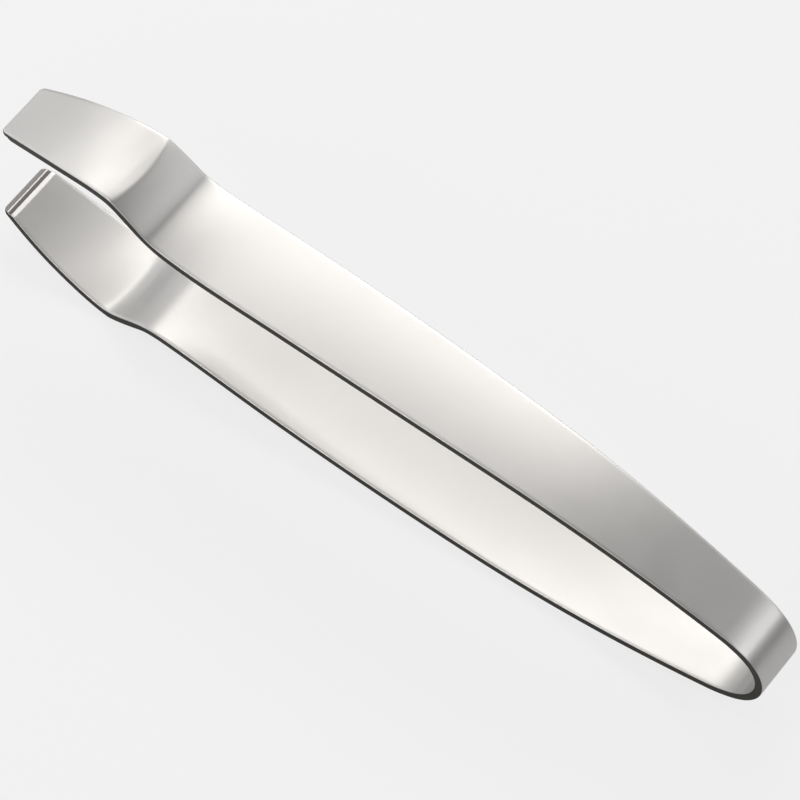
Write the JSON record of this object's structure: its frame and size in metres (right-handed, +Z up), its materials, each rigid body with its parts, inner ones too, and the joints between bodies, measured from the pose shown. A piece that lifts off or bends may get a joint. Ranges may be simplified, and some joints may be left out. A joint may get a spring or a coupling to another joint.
{
  "type": "fish bone tweezers",
  "caption": "Spring steel fish bone tweezers with a round bow, long tapering arms and broad stepped jaws whose ground lips close flat on pin bones.",
  "frame": {"origin": "on the surface that the tweezers lie on, under the middle of their length and width", "axes": "+X along the tweezers from the tips to the bow, +Y across the strip's width, +Z up from the lower arm to the upper arm"},
  "size_m": [0.1504, 0.016, 0.0378],
  "materials": {
    "steel": "satin"
  },
  "bodies": {
    "spring_bow": {"spring_bow": "steel"},
    "upper_arm": {"upper_arm": "steel"},
    "lower_arm": {"lower_arm": "steel"}
  },
  "joints": [
    {"name": "upper_pinch", "type": "hinge", "parent": "spring_bow", "child": "upper_arm", "pos_m": [0.06643, 0, 0.02246], "axis": [0, -1, 0], "range_deg": [0, 4.88], "stiffness_Nm_per_rad": 12},
    {"name": "lower_pinch", "type": "hinge", "parent": "spring_bow", "child": "lower_arm", "pos_m": [0.06563, 0, 0.00474], "axis": [0, 1, 0], "range_deg": [0, 4.88], "stiffness_Nm_per_rad": 12}
  ]
}
